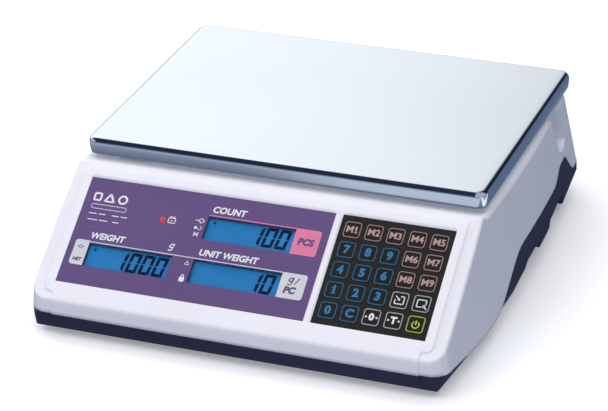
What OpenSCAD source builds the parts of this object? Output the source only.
// Counting scale: moulded housing with a sloping control panel, a steel platter on a
// single-point load cell, membrane keys, adjustable feet and a rechargeable battery.
// Millimetres. +Z up, the front faces -Y, the table is z = 0.

/* [Housing] */
// Width between the side walls on their widest line
body_w = 330; // [328:1:332]
// Depth from the front lip to the back edge of the base
body_d = 346; // [345:1:348]
// Height of the crease between the control slope and the deck
crease_z = 94; // [93:0.5:94.5]
// Height of the deck under the platter
deck_z = 90; // [89:0.5:90.5]
// Wall thickness of the moulded shells
wall = 2.6; // [2.4:0.1:2.8]
// How far the centre panel stands proud of the cheeks
panel_step = 1.2; // [0.8:0.2:1.4]

/* [Control panel] */
// Width of one key
key_w = 12.6; // [12:0.2:12.8]
// Height of one key up the slope
key_h = 12.8; // [12.2:0.2:13]
// Distance from one key to the next
key_pitch = 16; // [15.8:0.1:16.2]
// Height of a key above the keypad surface
key_proud = 0.4; // [0.3:0.1:0.6]

/* [Platter] */
// Width of the platter
platter_w = 306; // [302:1:308]
// Depth of the platter
platter_d = 222; // [218:1:222]
// Height of the platter top above the table
platter_top = 107; // [106.5:0.5:108]
// Depth of the folded rim
platter_rim = 13; // [12:0.5:13]

/* [Feet] */
// Radius of a foot pad
foot_r = 13; // [11:1:14]
// Radius of the screw thread of a foot
foot_thread_r = 4; // [3.5:0.5:4]
// Clearance between the base and the table
ground_gap = 4.5; // [4.5:0.1:5]

/* [Battery] */
// Length of the battery
battery_l = 101; // [98:1:102]
// Width of the battery
battery_w = 70; // [66:1:71]
// Height of the battery
battery_h = 47; // [45:1:50]

/* [Hidden] */

eps = 0.01;
front_y = -body_d / 2;
rear_y = body_d / 2;

// Side view: slope from the lip to the crease, a short ridge, the deck, a leaning back wall
crease_y = -79;
lip_z = crease_z - 64.7;
slope_a = atan2(crease_z - lip_z, crease_y - front_y);
slope_len = norm([crease_z - lip_z, crease_y - front_y]);
ridge_y = crease_y + 5.5;
rear_top_y = 150;
rear_foot_z = 15;
rear_lean = (rear_y - rear_top_y) / (deck_z - rear_foot_z);
rear_a = atan(rear_lean);

// Plan view: each side wall bows out on a large radius and leans in towards the top
bow = 9.2;
end_half = body_w / 2 - bow;
side_r = (pow(rear_y, 2) + pow(bow, 2)) / (2 * bow);
wall_panes = 3;
pane_a = 1.75;
draft_a = 6.8;
tuck_a = -19;
draft_z = 18;
form_top = 110;
corner_r = 12;

// Lower edge of the white side walls
sill_front = 17.3;
sill_dip = 5;
hand_rise = 27;
arch_rise = 8.5;
arch_fall = 22;
tongue_h = 4;
shell_gap = 0.25;
base_inset = 0.8;

groove_x = 148;

// Centre pod of the base, between the side hand holds
pod_half = 138;

// Labels and keys, x across and s down the slope from the crease
label_x = [-139, 50];
keypad_x = [55.4, 139];
label_s = [12.6, 99.1];
label_t = 0.6;
keypad_t = 1.5;
key_x0 = (keypad_x[0] + keypad_x[1] - 4 * key_pitch - key_w) / 2;
key_s0 = (label_s[0] + label_s[1] - 4 * key_pitch - key_h) / 2;
key_flange = 0.6;
flange_t = 0.7;
key_play = 0.1;
dome_top = -2.75;
board_h = -3.3;
board_t = 1.6;
// Display windows: x from, x to, s from, s to
windows = [[-41.9, 25.1, 30, 49], [-123.4, -58.7, 65.5, 84], [-42.2, 25.1, 65.3, 84]];
lcd_h = -3;
lcd_frame_h = -4.5;
lcd_margin = 4;
display_board_h = -8.4;
led_x = -74.9;
led_s = 38.6;
led_r = 2.4;

// Weighing parts
platter_y = 42.4;
sheet = 1;
platter_r = 8;
cell = [130, 30, 22];
cell_z = 24;
cell_end = 50;
plate_z = 12;
plate_t = 4;
bolt_r = 3;
hub_r = 15;
arm_z = 95;
arm_t = 4;
arm_reach = [105, 70];
bumper_r = 9;

// Base fittings
foot_x = 126;
foot_y = [-143, 138];
pad_h = ground_gap - 1.3;
stud_z = 1.3;
stud_top = 24;
stud_play = 0.06;
floor_z = ground_gap + wall;
door_x = [-104, 5];
door_y = [70.4, 156];
door_t = 2.4;
battery_x = -101;
battery_y = 75;
board_z = 18;
board_box = [[-60, -150], [80, -75]];
jack_x = 90;
jack_z = 60;
level_pos = [-118, -48];

function ease(t) = t <= 0 ? 0 : t >= 1 ? 1 : t * t * (3 - 2 * t);

function sill_z(y) = sill_front - sill_dip * ease((y - front_y) / 80)
    + hand_rise * ease((y + 80) / 75) + arch_rise * ease((y - 85) / 25)
    - arch_fall * ease((y - 122) / 30);

// Slope line at inset s, and the back wall at inset t
function slope_z(y, s) = crease_z + (y - crease_y) * tan(slope_a) - s / cos(slope_a);
function top_y(s) = crease_y + s * tan(slope_a / 2);
function back_y(z, t) = rear_y - (z - rear_foot_z) * rear_lean - t / cos(rear_a);

// Side outline of the housing: t insets the deck and back, s the slope and front
function outline(t, s) = [
    [front_y + s, -5],
    [front_y + s, slope_z(front_y + s, s)],
    [top_y(s), crease_z - s],
    [max(ridge_y - t, top_y(s) + 0.5), crease_z - s],
    [max(ridge_y + 3 - t, top_y(s) + 1.5), deck_z - t],
    [back_y(deck_z - t, t), deck_z - t],
    [back_y(-5, t), -5],
];

// Underside of the base beside the pod: hand holds, a stop pad and a rear foot housing
under_side = [
    [front_y - 2, 7.5], [front_y + 2, 6], [-85, 6], [-72, 10.6], [-60, 10.6], [-46, 8],
    [-24, 8], [-8, 17], [2, 21], [30, 22], [40, 12], [57, 12], [66, 22], [104, 25],
    [113, 19], [119, 9], [127, 5.6], [150, 5.6], [160, 9], [rear_y - 3, 22], [rear_y + 4, 26],
];

module side_prism(points, w = 2 * body_w)
    rotate([90, 0, 90]) linear_extrude(w, center = true) polygon(points);

module on_slope(x, s, h = 0)
    translate([0, crease_y, crease_z]) rotate([slope_a, 0, 0]) translate([x, -s, h]) children();

module slope_box(x, s, h)
    on_slope(x[0], s[1], h[0]) cube([x[1] - x[0], s[1] - s[0], h[1] - h[0]]);

module round_rect(w, d, r) {
    square([w - 2 * r, d], center = true);
    square([w, d - 2 * r], center = true);
    for (sx = [-1, 1], sy = [-1, 1])
        translate([sx * (w / 2 - r), sy * (d / 2 - r)]) circle(r, $fn = 48);
}

module slope_plate(x, s, h, r)
    on_slope((x[0] + x[1]) / 2, (s[0] + s[1]) / 2, h[0])
        linear_extrude(h[1] - h[0]) round_rect(x[1] - x[0], s[1] - s[0], r);

// Space between the two bowed side walls, inset by t and leaning in by lean degrees
module between_walls(t, lean)
    intersection_for(m = [0, 1], i = [-wall_panes:wall_panes])
        mirror([m, 0, 0]) translate([body_w / 2 - side_r, 0, draft_z]) rotate([0, 0, i * pane_a])
            translate([side_r - t, 0, 0]) rotate([0, -lean, 0])
                translate([-2 * body_w, -body_d, -body_w]) cube([2 * body_w, 2 * body_d, 2 * body_w]);

module corner_mask(t)
    linear_extrude(form_top) {
        square([body_w + 10, body_d - 2 * corner_r], center = true);
        round_rect(2 * (end_half + 1.25 - t), body_d - 2 * t, corner_r - t);
    }

// Outer form of the housing, inset by t, with its slope and front inset by s
module form(t, s)
    intersection() {
        side_prism(outline(t, s));
        between_walls(t, draft_a);
        corner_mask(t);
    }

// Everything below the lower edge of the side walls, raised by lift
module below_sill(lift)
    side_prism(concat([for (y = [-186:6:186]) [y, sill_z(y) + lift]], [[186, -9], [-186, -9]]));

module panel_mask() {
    slope_plate([-146, 146], [3, 107], [-12, 3], 5);
    slope_box([-pod_half, pod_half], [100, 150], [-40, 3]);
}

// Slanted prism through both side walls, outwards from x = from, where a finger lifts the platter
module groove(grow, from)
    for (m = [0, 1])
        mirror([m, 0, 0]) translate([from + 20, 0, 0])
            side_prism([[94 - grow, deck_z + 2], [114 + grow, deck_z + 2], [130 + grow, 60],
                [122, 55 - grow], [111 - grow, 57 - grow]], 40);

case_screw_at = [[-149, -120, 6], [149, -120, 6], [-112, 100, ground_gap], [112, 100, ground_gap]];
screw_boss_h = 14;

module upper_housing() color([0.93, 0.94, 0.97])
    difference() {
        union() {
            difference() {
                union() {
                    form(0, panel_step);
                    intersection() {
                        form(0, 0);
                        panel_mask();
                    }
                }
                form(wall, wall + panel_step);
            }
            intersection() {
                groove(wall, groove_x - wall);
                form(wall / 2, wall / 2 + panel_step);
            }
            for (p = case_screw_at)
                intersection() {
                    translate([p[0], p[1], p[2] + screw_boss_h + 0.3]) cylinder(h = 90, r = 5, $fn = 32);
                    form(wall / 2, wall / 2 + panel_step);
                }
            for (x = [-133, 44], s = [16, 96])
                on_slope(x, s, display_board_h) cylinder(h = 6.6, r = 3, $fn = 24);
        }
        below_sill(0);
        groove(0, groove_x);
        slope_box(label_x, label_s, [-label_t, 3]);
        slope_box(keypad_x, label_s, [-keypad_t, 3]);
        slope_box([keypad_x[0] + 1.4, keypad_x[1] - 1.4], [label_s[0] + 1.4, label_s[1] - 1.4], [-5, 3]);
        for (w = windows) slope_box([w[0], w[1]], [w[2], w[3]], [-6, 3]);
        on_slope(led_x, led_s, -6) cylinder(h = 9, r = led_r + 0.3, $fn = 32);
        translate([cell_end, platter_y, deck_z - 8]) cylinder(h = 12, r = hub_r + 3, $fn = 64);
        translate([level_pos[0], level_pos[1], deck_z - 8]) cylinder(h = 12, r = 9.2, $fn = 48);
        jack_frame() rotate([90, 0, 0]) cylinder(h = 20, r = 5, center = true, $fn = 32);
        for (p = case_screw_at)
            translate([p[0], p[1], p[2]]) cylinder(h = screw_boss_h + 14, r = 1.55, $fn = 24);
    }

module jack_frame()
    translate([jack_x, back_y(jack_z, 0), jack_z]) rotate([rear_a, 0, 0]) children();

// Underside of the pod, inset by t, closed above by the points in top
module pod(t, top)
    side_prism(concat([[front_y + t, 9 + t / 2], [front_y + 5 + t, ground_gap + t],
        [154 - t, ground_gap + t], [166 - t, 11 + t / 2], [rear_y - t, 18]], top), 2 * (pod_half - t));

tongue_in = wall + shell_gap;
pod_rim = [
    [rear_y, 25.4], [back_y(25.4, tongue_in), 25.4], [back_y(31, tongue_in), 31],
    [front_y + tongue_in + panel_step, 26],
    [front_y + tongue_in + panel_step, sill_front - shell_gap], [front_y, sill_front - shell_gap],
];

module base_outer() {
    intersection() {
        form(base_inset, panel_step + base_inset);
        between_walls(base_inset, tuck_a);
        below_sill(-shell_gap);
    }
    intersection() {
        form(wall + shell_gap, wall + shell_gap + panel_step);
        between_walls(base_inset, tuck_a);
        below_sill(tongue_h);
    }
}

module base_tray() color([0.2, 0.21, 0.33])
    difference() {
        union() {
            difference() {
                union() {
                    difference() {
                        base_outer();
                        side_prism(concat(under_side, [[190, -9], [-190, -9]]));
                    }
                    pod(0, pod_rim);
                }
                intersection() {
                    form(2 * wall + shell_gap, 2 * wall + shell_gap + panel_step);
                    between_walls(base_inset + wall, tuck_a);
                    union() {
                        side_prism(concat([for (p = under_side) [p[0], p[1] + wall]], [[190, 100], [-190, 100]]));
                        pod(wall, [[rear_y - wall, form_top], [front_y + wall, form_top]]);
                    }
                }
            }
            for (x = [-foot_x, foot_x], y = foot_y)
                translate([x, y, ground_gap]) cylinder(h = stud_top - ground_gap, r = 9, $fn = 48);
            for (p = case_screw_at)
                translate([p[0], p[1], p[2]]) cylinder(h = screw_boss_h, r = 5, $fn = 32);
            for (x = [-66, 72], y = [18, 66])
                translate([x, y, floor_z - 1]) cylinder(h = plate_z - floor_z + 1, r = 4, $fn = 24);
            for (x = [board_box[0][0] + 5, board_box[1][0] - 5], y = [board_box[0][1] + 5, board_box[1][1] - 5])
                translate([x, y, floor_z - 1]) cylinder(h = board_z - floor_z + 1, r = 3, $fn = 24);
            translate([door_x[0] - 4, 147, ground_gap + door_t + 0.3]) cube([door_x[1] - door_x[0] + 8, 12, 3]);
        }
        for (x = [-foot_x, foot_x], y = foot_y)
            translate([x, y, 0]) cylinder(h = stud_top + 1, r = foot_thread_r + stud_play, $fn = 48);
        for (p = case_screw_at) {
            translate([p[0], p[1], p[2] - 1]) cylinder(h = screw_boss_h + 2, r = 1.7, $fn = 24);
            translate([p[0], p[1], p[2] - 1]) cylinder(h = 4.4, r = 3.8, $fn = 32);
        }
        translate([door_x[0] - 0.3, door_y[0] - 0.3, 0])
            cube([door_x[1] - door_x[0] + 0.6, 120, ground_gap + door_t + 0.3]);
        translate([door_x[0], door_y[0], 0]) cube([door_x[1] - door_x[0], 76.6, floor_z + 2]);
        translate([door_x[0] - 1.8, door_y[0] - 0.3, ground_gap + 0.7])
            cube([door_x[1] - door_x[0] + 3.6, 120, 1.6]);
    }

module battery_door() color([0.18, 0.19, 0.3]) {
    translate([door_x[0], door_y[0], ground_gap]) cube([door_x[1] - door_x[0], door_y[1] - door_y[0], door_t]);
    translate([door_x[0] - 1.5, door_y[0], ground_gap + 1])
        cube([door_x[1] - door_x[0] + 3, door_y[1] - door_y[0], 1]);
}

module battery() color([0.25, 0.25, 0.27]) {
    translate([battery_x, battery_y, floor_z + 0.4]) cube([battery_l, battery_w, battery_h]);
    for (x = [14, battery_l - 14])
        translate([battery_x + x - 3, battery_y + 6, floor_z + battery_h]) cube([6, 1.2, 6]);
}

module chassis_plate() color([0.7, 0.71, 0.73])
    difference() {
        translate([-72, 12, plate_z]) cube([150, 60, plate_t]);
        for (x = [-cell_end - 7, -cell_end + 7])
            translate([x, platter_y, plate_z - 1]) cylinder(h = plate_t + 2, r = bolt_r + 0.2, $fn = 32);
        translate([cell_end, platter_y, plate_z - 1]) cylinder(h = plate_t + 2, r = bolt_r + 0.05, $fn = 32);
    }

module cell_spacer() color([0.6, 0.61, 0.63])
    difference() {
        translate([-cell[0] / 2, platter_y - cell[1] / 2, plate_z + plate_t])
            cube([30, cell[1], cell_z - plate_z - plate_t]);
        for (x = [-cell_end - 7, -cell_end + 7])
            translate([x, platter_y, plate_z]) cylinder(h = 20, r = bolt_r + 0.2, $fn = 32);
    }

module load_cell() color([0.78, 0.79, 0.8])
    difference() {
        translate([-cell[0] / 2, platter_y - cell[1] / 2, cell_z]) cube(cell);
        for (x = [-12, 12])
            translate([x, platter_y, cell_z + cell[2] / 2]) rotate([90, 0, 0])
                cylinder(h = cell[1] + 2, r = 8.6, center = true, $fn = 48);
        translate([0, platter_y, cell_z + cell[2] / 2]) cube([24, cell[1] + 2, 9], center = true);
        for (x = [-cell_end - 7, -cell_end + 7, cell_end - 7, cell_end + 7])
            translate([x, platter_y, cell_z - 1]) cylinder(h = cell[2] + 2, r = bolt_r + 0.05, $fn = 32);
    }

module hex_bolt(z, length, head)
    translate([0, 0, z]) {
        cylinder(h = length, r = bolt_r, $fn = 32);
        translate([0, 0, head > 0 ? length : -4]) cylinder(h = 4, r = 5, $fn = 6);
    }

module cell_bolts() color([0.5, 0.5, 0.52])
    for (x = [-cell_end - 7, -cell_end + 7])
        translate([x, platter_y, 0]) hex_bolt(plate_z, 24, -1);

module overload_stop() color([0.5, 0.5, 0.52])
    translate([cell_end, platter_y, 0]) {
        translate([0, 0, 9]) cylinder(h = cell_z - 9.6, r = bolt_r, $fn = 32);
        translate([0, 0, plate_z + plate_t]) cylinder(h = 4, r = 5, $fn = 6);
    }

module spider() color([0.62, 0.63, 0.65])
    difference() {
        union() {
            translate([0, platter_y, arm_z]) linear_extrude(arm_t) {
                for (m = [-1, 1])
                    rotate(m * atan2(arm_reach[1], arm_reach[0])) square([2 * norm(arm_reach), 18], center = true);
                for (sx = [-1, 1], sy = [-1, 1])
                    translate([sx * arm_reach[0], sy * arm_reach[1]]) circle(12, $fn = 48);
                translate([-31, -23]) square([105, 46]);
            }
            translate([cell_end, platter_y, cell_z + cell[2]]) cylinder(h = arm_z - cell_z - cell[2] + 1, r = hub_r, $fn = 64);
        }
        for (x = [-7, 7])
            translate([cell_end + x, platter_y, cell_z]) cylinder(h = 90, r = bolt_r + 0.2, $fn = 32);
    }

module spider_bolts() color([0.5, 0.5, 0.52])
    for (x = [-7, 7])
        translate([cell_end + x, platter_y, 0]) hex_bolt(cell_z + 8, arm_z + arm_t - cell_z - 8, 1);

module platter_bumpers() color([0.12, 0.12, 0.13])
    for (sx = [-1, 1], sy = [-1, 1])
        translate([sx * arm_reach[0], platter_y + sy * arm_reach[1], arm_z + arm_t])
            cylinder(h = platter_top - sheet - arm_z - arm_t - 0.05, r = bumper_r, $fn = 48);

// Rounded pan: four corner posts joined into one block
module pan_block(t)
    hull() for (sx = [-1, 1], sy = [-1, 1])
        translate([sx * (platter_w / 2 - platter_r), platter_y + sy * (platter_d / 2 - platter_r), 0])
            rotate_extrude($fn = 32) polygon([
                [0, platter_top - platter_rim - t], [platter_r - 1.2 - t, platter_top - platter_rim - t],
                [platter_r - t, platter_top - platter_rim + 1.8], [platter_r - t, platter_top - 4.6],
                [platter_r - 0.5 - t, platter_top - 2.8], [platter_r - 1.7 - t, platter_top - 1.2 - t / 2],
                [platter_r - 3.2 - t, platter_top - 0.3 - t], [platter_r - 4.6 - t, platter_top - t],
                [0, platter_top - t]]);

module platter() color([0.86, 0.89, 0.93])
    difference() {
        pan_block(0);
        pan_block(sheet);
    }

module main_board() color([0.1, 0.4, 0.25])
    translate([board_box[0][0], board_box[0][1], board_z])
        cube([board_box[1][0] - board_box[0][0], board_box[1][1] - board_box[0][1], board_t]);

module board_components() color([0.12, 0.12, 0.13]) {
    translate([-10, -120, board_z + board_t]) cube([16, 16, 2]);
    translate([20, -122, board_z + board_t]) cube([12, 20, 2.2]);
    translate([-45, -125, board_z + board_t]) cube([10, 14, 1.8]);
    for (x = [-50, -38, 60]) translate([x, -92, board_z + board_t]) cylinder(h = 14, r = 4, $fn = 32);
    translate([48, -128, board_z + board_t]) cylinder(h = 9, r = 6, $fn = 32);
    for (x = [-20, 0, 20]) translate([x, -84, board_z + board_t]) cube([14, 6, 8]);
}

module display_board() color([0.1, 0.4, 0.25])
    slope_box([-138, 49], [12, 100], [display_board_h - board_t, display_board_h]);

module lcd_modules() color([0.18, 0.51, 0.74])
    for (w = windows) {
        slope_box([w[0] - lcd_margin, w[1] + lcd_margin], [w[2] - lcd_margin, w[3] + lcd_margin],
            [display_board_h, lcd_frame_h]);
        slope_box([w[0] + 0.3, w[1] - 0.3], [w[2] + 0.3, w[3] - 0.3], [lcd_frame_h - 1, lcd_h]);
    }

module display_overlay() color([0.42, 0.34, 0.53])
    difference() {
        slope_box([label_x[0] + 0.15, label_x[1] - 0.15], [label_s[0] + 0.15, label_s[1] - 0.15], [-label_t, 0]);
        for (w = windows) slope_box([w[0], w[1]], [w[2], w[3]], [-3, 3]);
        on_slope(led_x, led_s, -3) cylinder(h = 6, r = led_r + 0.2, $fn = 32);
    }

module window_lenses() color([0.7, 0.85, 0.95, 0.4])
    for (w = windows)
        slope_box([w[0] + 0.1, w[1] - 0.1], [w[2] + 0.1, w[3] - 0.1], [-2.4, -1.6]);

module keypad_overlay() color([0.14, 0.14, 0.13])
    difference() {
        slope_box([keypad_x[0] + 0.15, keypad_x[1] - 0.15], [label_s[0] + 0.15, label_s[1] - 0.15], [-keypad_t, 0]);
        for (c = [0:4], r = [0:4])
            slope_plate(key_span(c, 0.3), row_span(r, 0.3), [-4, 3], 2.3);
    }

function key_span(c, grow) = [key_x0 + c * key_pitch - grow, key_x0 + c * key_pitch + key_w + grow];
function row_span(r, grow) = [key_s0 + r * key_pitch - grow, key_s0 + r * key_pitch + key_h + grow];

module key(c, r) color([0.12, 0.12, 0.12]) {
    slope_plate(key_span(c, 0), row_span(r, 0), [-keypad_t - key_play - eps, key_proud], 2);
    slope_plate(key_span(c, key_flange), row_span(r, key_flange),
        [-keypad_t - key_play - flange_t, -keypad_t - key_play], 2);
}

module snap_domes() color([0.8, 0.8, 0.78])
    for (c = [0:4], r = [0:4])
        on_slope(key_x0 + c * key_pitch + key_w / 2, key_s0 + r * key_pitch + key_h / 2, board_h)
            cylinder(h = dome_top - board_h, r1 = 4, r2 = 2.6, $fn = 32);

module keypad_board() color([0.1, 0.4, 0.25])
    slope_box([keypad_x[0] + 1.7, keypad_x[1] - 1.7], [label_s[0] + 1.7, label_s[1] - 1.7],
        [board_h - board_t, board_h]);

module charge_led() color([0.9, 0.25, 0.1])
    on_slope(led_x, led_s, display_board_h) {
        cylinder(h = -display_board_h, r = led_r, $fn = 32);
        translate([0, 0, -display_board_h - eps]) cylinder(h = 0.6, r1 = led_r, r2 = led_r - 0.8, $fn = 32);
    }

// Sheathed wire through a list of points
module wire(points, r)
    for (i = [0:len(points) - 2])
        let (d = points[i + 1] - points[i])
            translate(points[i]) rotate([0, acos(d[2] / norm(d)), atan2(d[1], d[0])])
                translate([0, 0, -r / 2]) cylinder(h = norm(d) + r, r = r, $fn = 8);

module wiring_harness() color([0.75, 0.2, 0.15]) {
    wire([[-66, 42.4, 34], [-84, 42.4, 34], [-84, -64, 26], [-16, -74.5, 26]], 2);
    wire([[-90, 73.4, 48], [-92, 10, 44], [-90, -66, 30], [2, -75.5, 29]], 1.5);
    wire([[jack_x, 140, 56], [jack_x, 84, 24], [jack_x, -58, 24], [27, -75.5, 26]], 1.5);
    translate([-20, -122.5, board_z + board_t]) cube([9, 0.8, 30]);
    translate([64, -125.4, board_z + board_t]) cube([12, 0.8, 34]);
}

module dc_jack() color([0.1, 0.1, 0.1])
    jack_frame() difference() {
        union() {
            translate([-6, -17, -6]) cube([12, 13.6, 12]);
            rotate([90, 0, 0]) cylinder(h = 5, r = 4.8, $fn = 32);
        }
        difference() {
            translate([0, 1, 0]) rotate([90, 0, 0]) cylinder(h = 11, r = 3.1, $fn = 32);
            translate([0, -1, 0]) rotate([90, 0, 0]) cylinder(h = 12, r = 1, $fn = 24);
        }
    }

module bubble_level() color([0.75, 0.9, 0.3])
    translate([level_pos[0], level_pos[1], deck_z]) {
        translate([0, 0, -7]) cylinder(h = 8, r = 9, $fn = 48);
        translate([0, 0, 0.05]) cylinder(h = 1.6, r = 11, $fn = 48);
    }

module case_screws() color([0.6, 0.6, 0.62])
    for (p = case_screw_at)
        translate([p[0], p[1], p[2] + 0.6]) {
            cylinder(h = 2.6, r = 3.4, $fn = 32);
            cylinder(h = 26, r = 1.45, $fn = 24);
        }

module foot_stud(x, y) color([0.6, 0.6, 0.62])
    translate([x, y, stud_z]) cylinder(h = stud_top - stud_z, r = foot_thread_r, $fn = 48);

module foot_pad(x, y) color([0.1, 0.1, 0.11])
    translate([x, y, 0]) difference() {
        cylinder(h = pad_h, r = foot_r, $fn = 48);
        translate([0, 0, stud_z - 0.1]) cylinder(h = pad_h, r = foot_thread_r + stud_play, $fn = 48);
    }

base_tray();
upper_housing();
chassis_plate();
cell_spacer();
load_cell();
cell_bolts();
overload_stop();
main_board();
board_components();
display_board();
lcd_modules();
display_overlay();
window_lenses();
keypad_overlay();
keypad_board();
snap_domes();
charge_led();
battery();
battery_door();
wiring_harness();
dc_jack();
bubble_level();
case_screws();
spider();
spider_bolts();
platter_bumpers();
platter();
foot_stud(-foot_x, foot_y[0]);  // foot_stud_fl
foot_stud(foot_x, foot_y[0]);  // foot_stud_fr
foot_stud(-foot_x, foot_y[1]);  // foot_stud_rl
foot_stud(foot_x, foot_y[1]);  // foot_stud_rr
foot_pad(-foot_x, foot_y[0]);  // foot_pad_fl
foot_pad(foot_x, foot_y[0]);  // foot_pad_fr
foot_pad(-foot_x, foot_y[1]);  // foot_pad_rl
foot_pad(foot_x, foot_y[1]);  // foot_pad_rr
key(0, 0);  // key_m1
key(1, 0);  // key_m2
key(2, 0);  // key_m3
key(3, 0);  // key_m4
key(4, 0);  // key_m5
key(0, 1);  // key_7
key(1, 1);  // key_8
key(2, 1);  // key_9
key(3, 1);  // key_m6
key(4, 1);  // key_m7
key(0, 2);  // key_4
key(1, 2);  // key_5
key(2, 2);  // key_6
key(3, 2);  // key_m8
key(4, 2);  // key_m9
key(0, 3);  // key_1
key(1, 3);  // key_2
key(2, 3);  // key_3
key(3, 3);  // key_sample
key(4, 3);  // key_lookup
key(0, 4);  // key_0
key(1, 4);  // key_clear
key(2, 4);  // key_zero
key(3, 4);  // key_tare
key(4, 4);  // key_power
